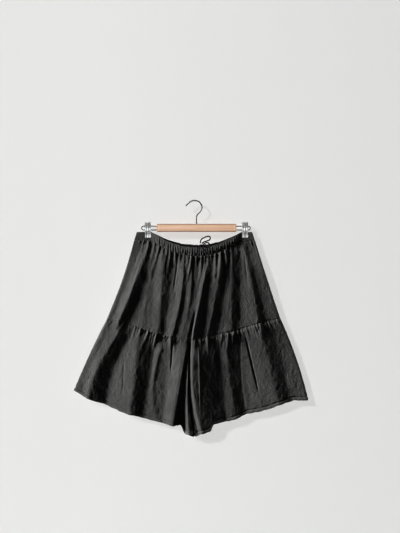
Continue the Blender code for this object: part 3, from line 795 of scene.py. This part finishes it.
def panelGrid(leg, face, tier, across, down):
    # the middle of a panel's wall, one row of points for each share down
    column = 1 if leg == "right" else 2
    across, down = across[None], down[:, None]
    seamZ = smoothTable(tierSeam, across, column)
    waistX = rowX(leg, "upper", across, 0.0, bandEdge(face, centreLine[0][1], waist["height"]))
    waistZ = bandEdge(face, waistX, waist["height"])
    if tier == "upper":
        z = waistZ + (seamZ - waistZ) * down
        x = rowX(leg, tier, across, down, z[:, -1:])
        depth = upperDepth(leg, face, across, down, x, z, waistX, waistZ, seamZ)
    else:
        seamX = rowX(leg, "upper", across, 1.0, seamZ[:, -1:])
        atSeam = upperDepth(leg, face, across, np.ones((1, 1)), seamX, seamZ, waistX, waistZ,
                            seamZ)
        z = seamZ + (smoothTable(hemLine, across, column) - seamZ) * down
        x = rowX(leg, tier, across, down, z[:, -1:])
        if face == "back":  # the legs overlap a little, so that no light comes between them
            x = x + shape["lap"] * across * ease(down / fades["lap"])
        depth = flounceDepth(leg, face, across, down, x, z, seamX, seamZ, atSeam)
        drop = hem["drop"] * (depth - depth.mean()) * down ** 2
        wave = hem["wave"] * patternNoise(x / hem["waveLength"], 0 * x + 0.5, 93) * down ** 8
        z = z - drop * ease((1 - across) / 0.15) + wave * ease((1 - across) / 0.1)
    return np.stack([x, faceSide[face] * depth, z], axis=-1)


def outward(vectors, face):
    return unit(vectors * np.sign(vectors[..., 1:2]) * faceSide[face])


def outOf(grid, face):
    # away from the wearer at each point, and level in the first row
    out = outward(np.cross(np.gradient(grid, axis=1), np.gradient(grid, axis=0)), face)
    out[0] = levelOut(grid[0], face)
    return out


def levelOut(row, face):
    along = np.gradient(row, axis=0)
    return outward(np.stack([along[:, 1], -along[:, 0], np.zeros(len(along))], axis=1), face)


def clothWall(grid, out, thickness, wear):
    # a closed wall: outer side, inner side and a rim all round
    rows, columns = grid.shape[:2]
    index = np.arange(rows * columns).reshape(rows, columns)
    half = out * thickness[..., None] / 2
    points = np.concatenate([(grid + half).reshape(-1, 3), (grid - half).reshape(-1, 3)])
    quads = np.stack([index[:-1, :-1], index[:-1, 1:], index[1:, 1:], index[1:, :-1]], axis=-1)
    ring = np.concatenate([index[0], index[1:, -1], index[-1, -2::-1], index[-2:0:-1, 0]])
    following = np.roll(ring, -1)
    edge = np.stack([ring, ring + index.size, following + index.size, following], axis=1)
    faces = np.concatenate([quads.reshape(-1, 4), quads.reshape(-1, 4)[:, ::-1] + index.size, edge])
    a, b, _, d = points[quads[rows // 2, columns // 2]]
    if np.cross(b - a, d - a).dot(out[rows // 2, columns // 2]) < 0:
        faces = faces[:, ::-1]
    lie = np.broadcast_arrays(runAlong(grid, 1).mean(axis=0), runAlong(grid))
    lie = np.stack(lie, axis=-1).reshape(-1, 2)
    return points, faces, np.concatenate([lie, lie]), np.concatenate([wear, wear])


def newSheet(stands, rests, grid, out, thickness, wear, **facts):
    points, faces, lie, wear = clothWall(grid, out, thickness, wear)
    piece = newPiece(stands, points, faces, linen, "linen", sharp=60, lie=lie, wear=wear)
    return grid, out


# panels

panelLook = {  # columns and rows, then the size and area of the cloth before it was gathered
    "upper": {"front": (210, 150), "back": (150, 80), "flat": (0.320, 0.300), "area": 0.066},
    "flounce": {"front": (250, 140), "back": (160, 70), "flat": (0.460, 0.300), "area": 0.100},
}


def spaced(count, start, end):
    # positions from 0 to 1 that lie closer together at the two ends
    at = np.linspace(0, 1, 2001)
    density = 1 + start * np.exp(-at / 0.03) + end * np.exp(-(1 - at) / 0.04)
    total = np.concatenate([[0], np.cumsum((density[1:] + density[:-1]) / 2)])
    return np.interp(np.linspace(0, 1, count), total / total[-1], at)


def makePanel(leg, face, tier):
    columns, rows = panelLook[tier][face]
    down = spaced(rows, 1.0, 2.0)
    grid = panelGrid(leg, face, tier, spaced(columns, 0.8, 2.0), down)
    out = outOf(grid, face)
    grid[0, :, 2] -= gap / 2
    thickness = shape["wall"] * np.ones((rows, columns))
    wear = np.zeros((rows, columns))
    if tier == "upper":
        rests = "waistband" + face.capitalize()
        out[-1] = levelOut(grid[-1], face)
        grid[-1, :, 2] += gap / 2
        above = down < shape["crotch"] - 1e-6
        out[above, -1] = unit(out[above, -1] * (0, 1, 1))
        wear += 0.5 * ease((down[:, None] - 0.97) / 0.02)
    else:
        rests = "upper" + face.capitalize() + leg.capitalize()
        drop = np.linalg.norm(grid[-1] - grid[0], axis=1)[None, :] * (1 - down[:, None])
        turned = ease((hem["turn"] + 0.001 - drop) / hem["fade"])
        puckered = patternNoise(grid[..., 0] / hem["pucker"], 0.5 + 0 * drop,
                                91 + (face == "back"))
        dent = bell((drop - hem["turn"]) / hem["grooveHalf"]) * (1 + 0.5 * puckered)
        ripple = hem["ripple"] * puckered * bell((drop - hem["turn"] / 2) / hem["rippleHalf"])
        grid += out * (ripple - hem["groove"] * dent)[..., None]
        thickness += hem["thick"] * turned
        wear += 0.7 * np.exp(-drop / hem["fade"]) + 0.25 * turned
    return newSheet(f"{tier}_{face}_{leg}", [rests], grid, out, thickness, wear,
                    flat=panelLook[tier]["flat"], area=panelLook[tier]["area"])


panels = {(tier, face, leg): makePanel(leg, face, tier)
          for face in faceSide for leg in legSide for tier in panelLook}
print("panels made")


# waistband: a gathered casing cut at the side seams

bandLook = {"columns": 520, "rows": 22, "run": (-0.15, 0.16), "flat": (0.440, 0.027),
            "seeds": {"front": 5, "back": 6}, "tunnel": 0.0011, "tunnelShare": (0.12, 0.76),
            "dent": 0.0005, "dentHalf": 0.03, "roll": {"front": 0, "back": 0.0060},
            "rollShare": 0.45, "wave": 0.0009, "waveLength": 0.008, "edge": 0.0012}
pucker = {  # least and most
    "spacing": (0.0052, 0.0086), "half": (0.0028, 0.0044), "rise": (0.0013, 0.0028),
    "lean": (-0.12, 0.12), "start": (-0.1, 0.25), "end": (0.8, 1.3)}
bead = {"spacing": 0.0066, "shift": 0.0012, "rise": 0.0011, "half": 0.0015, "down": 0.96,
        "long": 0.05}


def puckers(rng, x, down):
    relief, at = np.zeros_like(x), bandLook["run"][0]
    while at < bandLook["run"][1]:
        at += rng.uniform(*pucker["spacing"])
        half, tall, lean, start, end = (rng.uniform(*pucker[key])
                                        for key in ("half", "rise", "lean", "start", "end"))
        body = ease((down - start) / 0.2) * ease((end - down) / 0.2)
        relief += tall * hump((x - at - lean * (down - 0.5) * 0.02) / half) * body
    return relief * (0.35 + 0.65 * down)


def beads(rng, x, down):
    relief = np.zeros_like(x)
    for at in np.arange(*bandLook["run"], bead["spacing"]):
        at += rng.uniform(-bead["shift"], bead["shift"])
        relief += bead["rise"] * np.exp(-((x - at) / bead["half"]) ** 2
                                        - ((down - bead["down"]) / bead["long"]) ** 2)
    return relief


def makeBand(face):
    centreZ = bandEdge(face, centreLine[0][1], waist["height"])
    right, left = (rowX(leg, "upper", np.linspace(0, 1, bandLook["columns"] // 2), 0.0, centreZ)
                   for leg in legSide)
    lowerX = np.concatenate([right[:-1], left[::-1]])
    share = (lowerX - lowerX[0]) / (lowerX[-1] - lowerX[0])
    upperX = waist["corner"] * (2 * share - 1)
    down = np.linspace(0, 1, bandLook["rows"])[:, None]
    x = upperX * (1 - down) + lowerX * down
    footZ = bandEdge(face, lowerX, waist["height"]) + gap / 2
    z = bandEdge(face, upperX, 0) * (1 - down) + footZ * down
    base = waist["wall"] / 2 + gap / 2 + waist["belly"][face] * betweenClips(x)
    loose = ease(betweenClips(x) * 3.0)  # flat in the clips and at the corners
    rng = np.random.default_rng(bandLook["seeds"][face])
    relief = puckers(rng, x, down)
    (start, part), half = bandLook["tunnelShare"], bandLook["dentHalf"]
    tunnel = np.sin(np.pi * np.clip((down - start) / part, 0, 1)) * (0.4 + 0.6 * loose)
    dent = bell((down - stitching["casing"]) / half) + 0.6 * bell((down - 0.10) / half)
    # its top rolls in over the waist
    inward = bandLook["roll"][face] * ease(1 - down / bandLook["rollShare"])
    relief = (relief + bandLook["tunnel"] * tunnel + beads(rng, x, down)
              - bandLook["dent"] * dent - inward)
    wave = patternNoise(x / bandLook["waveLength"], down * 0 + 3.1, 17)
    z = z + bandLook["wave"] * wave * loose * (1 - down)
    grid = np.stack([x, faceSide[face] * (base + relief * loose), z], axis=-1)
    out = outOf(grid, face)
    out[-1] = levelOut(grid[-1], face)
    fromEdge = np.minimum(down, 1 - down) * waist["height"]
    thickness = waist["wall"] * (0.75 + 0.25 * ease(fromEdge / bandLook["edge"]))
    wear = 0.6 * np.exp(-down * waist["height"] / bandLook["edge"])
    alike = np.ones_like(x)
    return newSheet(f"waistband_{face}", [f"clip_{leg}_{face}_jaw" for leg in legSide], grid, out,
                    thickness * alike, wear * alike, flat=bandLook["flat"])


# topstitching

stitching = {"length": 0.0023, "pitch": 0.0033, "width": 0.00028, "sunk": 0.25, "flat": 0.7,
             "sides": 6, "margin": 0.004, "casing": 0.90}
stitchForm = {"along": (0, 0.08, 0.5, 0.92, 1), "swell": (0.25, 0.8, 1.0, 0.8, 0.25),
              "lift": (-0.9, -0.2, 0.0, -0.2, -0.9)}


def stitchRow(grid, out, thickness, level):
    # stitches along a level of a grid: level gives the row position of each column
    along, swell, lift = (np.array(stitchForm[key]) for key in ("along", "swell", "lift"))
    width, sides, columns = stitching["width"], stitching["sides"], np.arange(grid.shape[1])
    low = np.clip(np.floor(level).astype(int), 0, grid.shape[0] - 2)
    part = (level - low)[:, None]
    line = grid[low, columns] * (1 - part) + grid[low + 1, columns] * part
    face = out[low, columns]
    line = line + face * (thickness / 2 + width * stitching["sunk"])
    run = runAlong(line)
    angle = np.arange(sides) * 2 * math.pi / sides
    parts = []
    for start in np.arange(stitching["margin"], run[-1] - stitching["margin"],
                           stitching["pitch"]):
        at = start + stitching["length"] * along
        middle, up = (np.stack([np.interp(at, run, values[:, k]) for k in range(3)], axis=1)
                      for values in (line, face))
        up = unit(up)
        side = np.cross(unit(np.gradient(middle, axis=0)), up)
        middle = middle + up * (lift[:, None] * width)
        rings = ringPoints(middle, side, up, (width * swell)[:, None], angle, stitching["flat"])
        parts.append((rings, ringFaces(len(along), sides)))
    return parts


def makeStitches():
    rows = {"hemStitches": [], "casingStitches": []}
    for name, (grid, out) in panels.items():
        if "flounce" in name:
            level = [len(grid) - 2 - np.interp(hem["turn"], drop, np.arange(len(drop)))
                     for drop in runAlong(grid[::-1])[1:].T]
            rows["hemStitches"] += stitchRow(grid, out, shape["wall"], np.array(level))
    for grid, out in bands.values():
        level = np.full(grid.shape[1], stitching["casing"] * (len(grid) - 1))
        rows["casingStitches"] += stitchRow(grid, out, waist["wall"], level)
    for name, parts in rows.items():
        newPiece(name, *joined(parts), stitchThread, "linen", sharp=80)


bands = {face: makeBand(face) for face in faceSide}
print("waistband made")
makeStitches()
print("topstitching made")


# hanger

bar = {"length": 0.2384, "depth": 0.012, "height": 0.0234, "x": 0.0062, "top": -0.0687,
       "edge": 0.0022, "round": 0.0045, "socketDepth": 0.009, "socketRoom": 0.0003,
       "roundAt": (0, 0.06, 0.2, 0.4, 0.65, 1.0), "plainFrom": 0.02, "plainParts": 40}
woodLook = {"light": (0.600, 0.372, 0.232, 1), "dark": (0.430, 0.240, 0.138, 1),
            "ends": (0.700, 0.480, 0.330, 1), "handled": (0.120, 0.065, 0.040, 1),
            "grain": (9.0, 150.0, 150.0), "grainRange": (0.35, 0.65), "grainShare": 0.55,
            "pores": (60.0, 1500.0, 1500.0), "poreRange": (0.60, 0.72), "poreShare": 0.35,
            "patch": 0.05, "contrast": 1.4, "patchShare": 0.3, "endHighlightReach": (0.008, 0.003),
            "endShare": 0.7, "edgeShadeRange": (0.0075, 0.0118), "edgeShadeShare": 0.75,
            "roughness": 0.5, "roughLeast": 0.40, "roughVaries": 0.2, "coat": 0.12,
            "coatRoughness": 0.35, "bump": 0.0002, "bumpStrength": 0.35}
metalLook = {"patch": 0.012, "contrast": 1.6, "roughVaries": 0.18, "bump": 0.00005,
             "bumpStrength": 0.4}
metals = {  # colour, worn colour, roughness and the stretch of its fine lines
    # the wire's colour is painted dark: it stands in for the dark room that the chrome reflects
    "brightWire": ((0.21, 0.21, 0.21), (0.15, 0.15, 0.15), 0.20, (900.0, 900.0, 900.0)),
    "pressedSteel": ((0.88, 0.88, 0.86), (0.72, 0.72, 0.70), 0.36, (2500.0, 2500.0, 160.0))}
hook = {"wire": 0.0036, "step": 0.0012, "sides": 24, "line": tenths(
    (-266, -146), (-205, -88), (-140, -30), (-75, 8), (0, 18), (85, 4), (160, -40), (208, -110),
    (226, -185), (208, -262), (165, -328), (110, -385), (72, -428), (62, -480), (62, -580))}
loops = {"wire": 0.0028, "sides": 20, "top": -0.0753, "foot": -0.0867,
         "ends": {"right": -0.1586, "left": 0.1670}}
clips = {"width": 0.0176, "plate": 0.0012, "top": -0.0636, "foot": -0.1098, "step": 0.0008,
         "line": tenths((-88, -636), (-68, -700), (-52, -765), (-46, -820), (-52, -880),
                        (-44, -950), (-36, -1000), (-36, -1070), (-44, -1098)),
         "slotTop": -0.0925, "slots": {"right": (-0.0046, 0.0009), "left": (0.0, 0.0011)},
         "corners": ((0.16, 0.004), (0.12, 0.003)), "ribFoot": -0.0935, "ribFade": 0.003,
         "ribs": ((0.0, 0.0014, 0.0013), (-0.0053, 0.0012, 0.0010), (0.0053, 0.0012, 0.0010)),
         "rim": 0.0004, "rimHalf": 0.0009}
prong = {"leg": "right", "away": 0.0055, "half": 0.0010, "rise": 0.0005, "top": -0.0945}
spring = {"radius": 0.0030, "length": 0.0110, "wire": 0.0010, "turns": 8, "parts": 20, "sides": 8}


def woodMaterial():
    look = woodLook
    made, tree, shader, place = newMaterial("beechWood", look["roughness"])
    split = addNode(tree, "SeparateXYZ", Vector=place).outputs
    rings = stretchedNoise(tree, place, look["grain"], Scale=1.0, Detail=5.0, Distortion=0.6)
    flecks = stretchedNoise(tree, place, look["pores"], Scale=1.0, Detail=2.0)
    patches = useGroup(tree, mottle, Vector=place, Size=look["patch"], Contrast=look["contrast"])
    ringShare = mapRange(tree, rings, *look["grainRange"])
    grain = mixColour(tree, ringShare, look["light"], look["dark"])
    pores = mapRange(tree, flecks, *look["poreRange"])
    start, end = (bar["length"] / 2 - reach for reach in look["endHighlightReach"])
    away = {axis: addMath(tree, "ABSOLUTE", addMath(tree, "SUBTRACT", split[axis], middle))
            for axis, middle in (("X", bar["x"]), ("Z", bar["top"] - bar["height"] / 2))}
    patched = addMath(tree, "MULTIPLY", patches["Mask"], look["patchShare"])
    pored = addMath(tree, "MULTIPLY", pores, look["poreShare"])
    # painted highlight: the bar's ends are lighter where their bevels catch the light
    endHighlight = mapRange(tree, away["X"], start, end, high=look["endShare"])
    # painted shade: the bar's top and bottom edges are darker where the rounded edges turn from the
    # light
    handled = mapRange(tree, away["Z"], *look["edgeShadeRange"], high=look["edgeShadeShare"])
    base = look["light"]
    for share, tint in ((look["grainShare"], grain), (patched, look["dark"]),
                        (pored, look["dark"]), (endHighlight, look["ends"]),
                        (handled, look["handled"])):
        base = mixColour(tree, share, base, tint)
    feed(tree, shader, Base_Color=base, Coat_Weight=look["coat"],
         Coat_Roughness=look["coatRoughness"],
         Roughness=addMath(tree, "MULTIPLY_ADD", rings, look["roughVaries"], look["roughLeast"]),
         Normal=bumpOf(tree, rings, look["bump"], look["bumpStrength"]))
    return made


def metalMaterial(name, colour, worn, roughness, stretch):
    made, tree, shader, place = newMaterial(name, roughness, 1.0)
    look = metalLook
    patches = useGroup(tree, mottle, Vector=place, Size=look["patch"], Contrast=look["contrast"])
    lines = stretchedNoise(tree, place, stretch, Scale=1.0, Detail=2.0)
    rough = addMath(tree, "MULTIPLY_ADD", lines, look["roughVaries"],
                    roughness - look["roughVaries"] / 2)
    feed(tree, shader, Base_Color=mixColour(tree, patches["Mask"], opaque(colour), opaque(worn)),
         Roughness=rough, Normal=bumpOf(tree, lines, look["bump"], look["bumpStrength"]))
    return made


wood = woodMaterial()
chrome, brushedSteel = (metalMaterial(name, *look) for name, look in metals.items())


def cutSockets(piece, sockets):
    # round holes, each about a middle, along an axis and for a wire
    cutters = []
    for middle, axis, wire in sockets:
        reach = Vector(axis) * bar["socketDepth"]
        line = [Vector(middle) - reach, Vector(middle), Vector(middle) + reach]
        form = tubePoints(line, wire / 2 + bar["socketRoom"], 24, roundEnds=False)
        cutter = bpy.data.objects.new("socketCutter", meshFrom("socketCutter", *form))
        scene.collection.objects.link(cutter)
        hole = piece.modifiers.new("socket", "BOOLEAN")
        hole.operation = "DIFFERENCE"
        hole.object = cutter
        cutters.append(cutter)
    bpy.context.view_layer.update()
    graph = bpy.context.evaluated_depsgraph_get()
    whole = bpy.data.meshes.new_from_object(piece.evaluated_get(graph))
    piece.modifiers.clear()
    piece.data = whole
    for cutter in cutters:
        bpy.data.objects.remove(cutter)


def makeBar():
    halfLong, halfDeep, halfTall = bar["length"] / 2, bar["depth"] / 2, bar["height"] / 2
    edge, middleZ, bend = bar["edge"], bar["top"] - halfTall, 5
    ends = np.array(bar["roundAt"]) * bar["round"]
    plain = np.linspace(bar["plainFrom"], bar["length"] - bar["plainFrom"], bar["plainParts"])
    stations = np.concatenate([ends, plain, bar["length"] - ends[::-1]])
    fromEnd = np.clip(np.minimum(stations, bar["length"] - stations) / bar["round"], 0, 1)
    inset = edge * (1 - np.sqrt(np.clip(1 - (1 - fromEnd) ** 2, 0, 1)))
    section = []
    for cy, cz, start in ((1, 1, 0), (-1, 1, 90), (-1, -1, 180), (1, -1, 270)):
        for k in range(bend + 1):
            angle = math.radians(start + 90 * k / bend)
            section.append((cy * (halfDeep - edge) + edge * math.cos(angle),
                            cz * (halfTall - edge) + edge * math.sin(angle)))
    points = [(bar["x"] - halfLong + at, y * (halfDeep - less) / halfDeep,
               middleZ + z * (halfTall - less) / halfTall)
              for at, less in zip(stations, inset) for y, z in section]
    piece = newPiece("hanger_bar", points, ringFaces(len(stations), len(section)), wood, "wood",
                     sharp=35)
    cutSockets(piece, [((bar["x"], 0, bar["top"]), (0, 0, 1), hook["wire"])]
               + [((bar["x"] + sign * halfLong, 0, z), (1, 0, 0), loops["wire"])
                  for sign in legSide.values() for z in (loops["top"], loops["foot"])])


def makeHook():
    stemFoot = bar["top"] - bar["socketDepth"] + gap
    line = smoothRoute([(x, 0, z) for x, z in [*hook["line"], (bar["x"], stemFoot)]],
                       hook["step"])
    newPiece("hanger_hook", *tubePoints(line, hook["wire"] / 2, hook["sides"]), chrome,
             "hook_wire")


def makeLoop(leg):
    sign = legSide[leg]
    radius, middle = (loops["top"] - loops["foot"]) / 2, (loops["top"] + loops["foot"]) / 2
    start = bar["x"] + sign * (bar["length"] / 2 - bar["socketDepth"] + gap)
    turn = loops["ends"][leg] - sign * radius
    line = [Vector((start + (turn - start) * k / 20, 0, loops["top"])) for k in range(20)]
    for k in range(25):
        angle = math.pi / 2 - math.pi * k / 24
        line.append(Vector((turn + sign * radius * math.cos(angle), 0,
                            middle + radius * math.sin(angle))))
    line += [Vector((turn + (start - turn) * k / 20, 0, loops["foot"])) for k in range(1, 21)]
    newPiece(f"hanger_loop_{leg}", *tubePoints(line, loops["wire"] / 2, loops["sides"],
                                               roundEnds=False), chrome, "hook_wire")


def jawGrid(leg, face):
    # a pressed plate with stiffening ribs, rounded tab corners and prongs below the slot
    line = smoothRoute([(0, -y * faceSide[face], z) for y, z in clips["line"]], clips["step"])
    line = np.array([tuple(p) for p in line])
    run = unit(np.gradient(line, axis=0))
    normal = np.stack([np.zeros(len(line)), -run[:, 2], run[:, 1]], axis=1)
    normal *= np.sign(normal[:, 1:2]) * faceSide[face]
    half, (slotX, slotHalf) = clips["width"] / 2, clips["slots"][leg]
    stripes = np.unique(np.round(np.concatenate([
        np.linspace(-half, slotX - slotHalf, 17), np.linspace(slotX + slotHalf, half, 17),
        [slotX]]), 6))
    z, fade = line[:, 2], clips["ribFade"]
    narrow = 1
    for (share, reach), away in zip(clips["corners"], (clips["top"] - z, z - clips["foot"])):
        narrow = narrow - share * np.clip(1 - away / reach, 0, 1) ** 2
    ribs = sum(tall * bell((stripes - at) / wide) for at, wide, tall in clips["ribs"])
    ribs = ribs * (ease((clips["top"] - z) / fade) * ease((z - clips["ribFoot"]) / fade))[:, None]
    ribs = ribs + clips["rim"] * bell((half - abs(stripes)) / clips["rimHalf"])
    if leg == prong["leg"]:
        side = prong["rise"] * bell((stripes - slotX - prong["away"]) / prong["half"])
        ribs = ribs + side * ease((prong["top"] - z) / fade)[:, None]
    grid = np.zeros((len(line), len(stripes), 3))
    grid[..., 0] = waist["clips"][leg] + stripes * narrow[:, None]
    grid[..., 1:] = line[:, None, 1:]
    middles = (stripes[1:] + stripes[:-1]) / 2
    kept = np.ones((len(line) - 1, len(middles)), bool)
    kept[np.ix_(z[1:] < clips["slotTop"], abs(middles - slotX) < slotHalf)] = False
    return grid + normal[:, None] * ribs[..., None], normal[:, None], kept


def makeJaw(leg, face):
    grid, normal, kept = jawGrid(leg, face)
    lift = normal * (clips["plate"] / 2)
    points = np.concatenate([(grid + lift).reshape(-1, 3), (grid - lift).reshape(-1, 3)])
    columns, inner = grid.shape[1], grid.shape[0] * grid.shape[1]
    faces, edges = [], {}
    for r, c in np.argwhere(kept).tolist():
        a = r * columns + c
        quad = (a, a + 1, a + columns + 1, a + columns)
        faces += [quad, tuple(k + inner for k in reversed(quad))]
        edges.update(dict.fromkeys(zip(quad, quad[1:] + quad[:1])))
    faces += [(q, p, p + inner, q + inner) for p, q in edges if (q, p) not in edges]
    used, faces = np.unique(faces, return_inverse=True)
    faces = faces.reshape(-1, 4)
    newPiece(f"clip_{leg}_{face}_jaw", points[used], faces if face == "front" else faces[:, ::-1],
             brushedSteel, "clip_steel", sharp=40)


def makeSpring(leg):
    radius, half = spring["radius"] - spring["wire"] / 2, spring["length"] / 2
    middleZ, count = (loops["top"] + loops["foot"]) / 2, spring["turns"] * spring["parts"]
    coil = []
    for k in range(count + 1):
        angle = 2 * math.pi * k / spring["parts"]
        coil.append(Vector((waist["clips"][leg] - half + 2 * half * k / count,
                            radius * math.cos(angle), middleZ + radius * math.sin(angle))))
    newPiece(f"clip_{leg}_spring", *tubePoints(coil, spring["wire"] / 2, spring["sides"]),
             brushedSteel, "clip_steel", sharp=70)


makeBar()
makeHook()
for hangerLeg in legSide:
    makeLoop(hangerLeg)
for hangerLeg in legSide:
    for jawFace in faceSide:
        makeJaw(hangerLeg, jawFace)
    makeSpring(hangerLeg)
print("hanger made")
